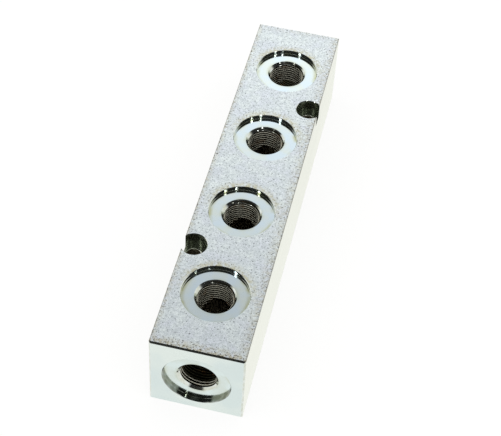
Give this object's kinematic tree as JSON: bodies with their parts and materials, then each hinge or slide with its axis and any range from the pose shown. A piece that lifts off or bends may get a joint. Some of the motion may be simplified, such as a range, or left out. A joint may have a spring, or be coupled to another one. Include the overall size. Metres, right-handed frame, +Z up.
{
  "type": "hydraulic manifold block",
  "caption": "Square zinc-plated steel bar manifold: spotfaced threaded ports in a row on top and in the ends of a common gallery, with counterbored mounting holes on a diagonal.",
  "frame": {"origin": "middle of the bottom face", "axes": "+Z up out of the row of ports, +Y along the block and its gallery towards the back end, +X across the block to the right"},
  "size_m": [0.04, 0.201, 0.04],
  "materials": {
    "zinc_plated_steel": "bright zinc plate over a milled and drilled steel bar, satin"
  },
  "bodies": {
    "root": {"manifold_block": "zinc_plated_steel"}
  },
  "joints": []
}
